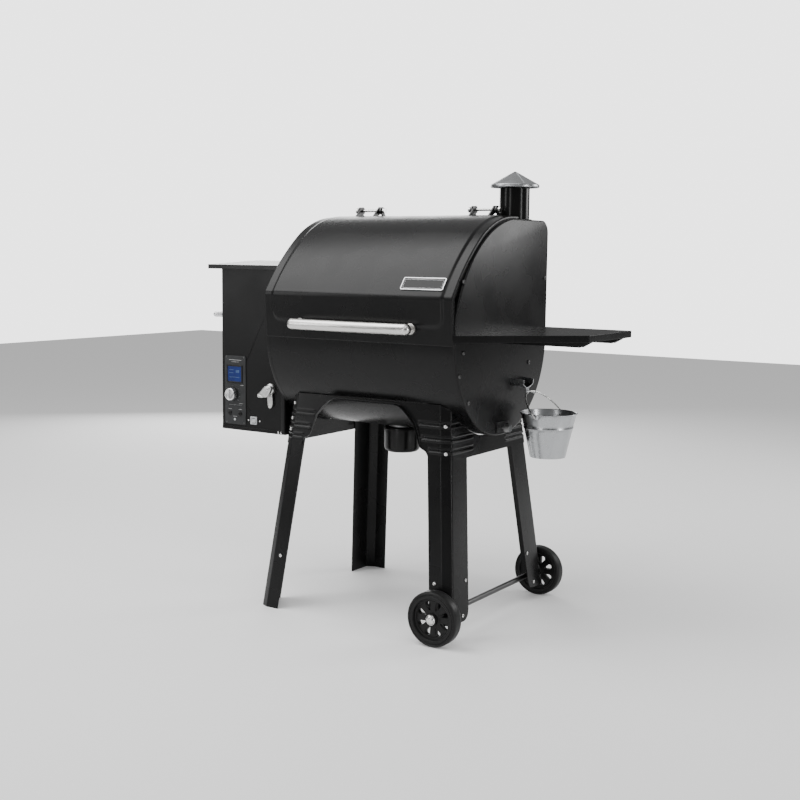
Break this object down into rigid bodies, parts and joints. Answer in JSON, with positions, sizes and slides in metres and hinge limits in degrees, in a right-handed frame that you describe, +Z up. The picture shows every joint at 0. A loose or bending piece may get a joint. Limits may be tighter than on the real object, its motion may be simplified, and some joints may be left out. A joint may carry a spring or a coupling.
{
  "type": "pellet smoker grill",
  "caption": "Barrel pellet smoker on four splayed legs with two wheels, side hopper with controller, chimney, side shelf, hinged lid and a grease bucket.",
  "frame": {"origin": "centre of the whole outline on the floor, under the barrel", "axes": "+X to the right end with the shelf and wheels, -Y towards the cook, +Z up"},
  "size_m": [1.199, 0.668, 1.27],
  "materials": {
    "black_enamel": "satin black powder coat, faint orange peel",
    "black_matte_metal": "matte black high-temperature paint",
    "stainless": "brushed along its length",
    "galvanised": "galvanised, light spangle",
    "zinc_hardware": "bright zinc plate",
    "dark_hardware": "black oxide",
    "panel_grey": "charcoal overlay film",
    "switch_grey": "light grey",
    "lcd_blue": "dark blue display behind a clear window",
    "black_plastic": "moulded, semi-gloss",
    "knob_silver": "satin silver",
    "raw_steel": "plain mill steel",
    "wheel_black": "moulded black tyre and spoked centre",
    "nameplate": "satin border, black field, no lettering",
    "cast_silver": "cast and tumbled",
    "porcelain": "black porcelain coated wire"
  },
  "bodies": {
    "root": {"barrel_shell": "black_enamel", "end_cap_left": "black_enamel", "end_cap_right": "black_enamel", "hinge_body_brackets": "dark_hardware", "chimney_tube": "black_enamel", "hopper_body": "black_matte_metal", "hopper_lid_hinges": "dark_hardware", "hopper_grab_bar": "stainless", "hopper_funnel": "raw_steel", "power_inlet": "black_plastic", "control_panel": "panel_grey", "lcd_window": "lcd_blue", "probe_jacks": "black_plastic", "power_switch_bezel": "switch_grey", "bottle_opener": "cast_silver", "fasteners": "zinc_hardware", "auger_tube": "raw_steel", "auger_motor": "raw_steel", "blower_housing": "raw_steel", "fire_pot": "raw_steel", "igniter_rod": "zinc_hardware", "ash_chute": "raw_steel", "ash_pull_bracket": "zinc_hardware", "heat_baffle": "raw_steel", "grease_tray": "raw_steel", "temperature_probe": "zinc_hardware", "grease_spout": "galvanised", "leg_front_left": "black_enamel", "leg_front_right": "black_enamel", "leg_rear_left": "black_enamel", "leg_rear_right": "black_enamel", "front_apron": "black_enamel", "rear_apron": "black_enamel", "left_apron": "black_enamel", "right_apron": "black_enamel", "side_shelf": "black_enamel", "shelf_arms": "black_matte_metal", "wheel_axle": "dark_hardware"},
    "lid": {"lid_shell": "black_enamel", "lid_nameplate": "nameplate", "lid_handle_bar": "stainless", "lid_handle_posts": "stainless", "hinge_lid_brackets": "dark_hardware", "hinge_pins": "zinc_hardware"},
    "hopper_cover": {"hopper_lid": "black_enamel"},
    "draught_cap": {"chimney_cap": "galvanised"},
    "dial": {"control_knob": "knob_silver"},
    "button": {"menu_button": "switch_grey"},
    "rocker": {"power_rocker": "switch_grey"},
    "auger": {"auger_screw": "raw_steel"},
    "impeller": {"fan_impeller": "raw_steel"},
    "ash_gate": {"ash_slide": "raw_steel"},
    "ash_can": {"ash_cup": "black_enamel"},
    "cleanout_door": {"hopper_gate": "black_matte_metal"},
    "front_wheel": {"wheel_front": "wheel_black"},
    "back_wheel": {"wheel_rear": "wheel_black"},
    "bucket": {"grease_bucket": "galvanised"},
    "bail": {"bucket_bail": "zinc_hardware"},
    "grate": {"cooking_grate": "porcelain"},
    "rack": {"warming_rack": "porcelain"}
  },
  "joints": [
    {"name": "lid_hinge", "type": "hinge", "parent": "root", "child": "lid", "pos_m": [0.0155, 0.092, 1.161], "axis": [-1, 0, 0], "range_deg": [0, 85]},
    {"name": "hopper_lid_hinge", "type": "hinge", "parent": "root", "child": "hopper_cover", "pos_m": [-0.4045, 0.056, 0.99], "axis": [-1, 0, 0], "range_deg": [0, 95]},
    {"name": "cap_height_adjust", "type": "slide", "parent": "root", "child": "draught_cap", "axis": [0, 0, 1], "range_m": [0, 0.02]},
    {"name": "temperature_dial", "type": "hinge", "parent": "root", "child": "dial", "pos_m": [-0.5005, -0.177, 0.604], "axis": [0, 1, 0], "range_deg": [0, 270]},
    {"name": "menu_press", "type": "slide", "parent": "root", "child": "button", "axis": [0, 1, 0], "range_m": [0, 0.0015], "stiffness_N_per_m": 400, "springref_m": -0.001},
    {"name": "power_switch", "type": "hinge", "parent": "root", "child": "rocker", "pos_m": [-0.419, -0.1755, 0.5285], "axis": [1, 0, 0], "range_deg": [0, 10]},
    {"name": "auger_drive", "type": "hinge", "parent": "root", "child": "auger", "pos_m": [-0.2605, 0, 0.585], "axis": [1, 0, 0], "continuous": true},
    {"name": "blower_drive", "type": "hinge", "parent": "root", "child": "impeller", "pos_m": [-0.3795, -0.117, 0.552], "axis": [0, 1, 0], "continuous": true},
    {"name": "ash_pull", "type": "slide", "parent": "root", "child": "ash_gate", "axis": [1, 0, 0], "range_m": [0, 0.1]},
    {"name": "ash_cup_release", "type": "slide", "parent": "root", "child": "ash_can", "axis": [0, 0, -1], "range_m": [0, 0.12]},
    {"name": "cleanout_slide", "type": "slide", "parent": "root", "child": "cleanout_door", "axis": [0, 0, 1], "range_m": [0, 0.058]},
    {"name": "front_wheel_spin", "type": "hinge", "parent": "root", "child": "front_wheel", "pos_m": [0.3055, -0.307, 0.075], "axis": [0, 1, 0], "continuous": true},
    {"name": "rear_wheel_spin", "type": "hinge", "parent": "root", "child": "back_wheel", "pos_m": [0.3055, 0.307, 0.075], "axis": [0, 1, 0], "continuous": true},
    {"name": "bucket_lift", "type": "slide", "parent": "root", "child": "bucket", "axis": [0, 0, 1], "range_m": [0, 0.045]},
    {"name": "bail_swing", "type": "hinge", "parent": "bucket", "child": "bail", "pos_m": [0.4265, 0.1, 0.586], "axis": [0, 1, 0], "range_deg": [0, 120]},
    {"name": "grate_lift", "type": "slide", "parent": "root", "child": "grate", "axis": [0, 0, 1], "range_m": [0, 0.1]},
    {"name": "rack_lift", "type": "slide", "parent": "root", "child": "rack", "axis": [0, 0, 1], "range_m": [0, 0.04]}
  ]
}
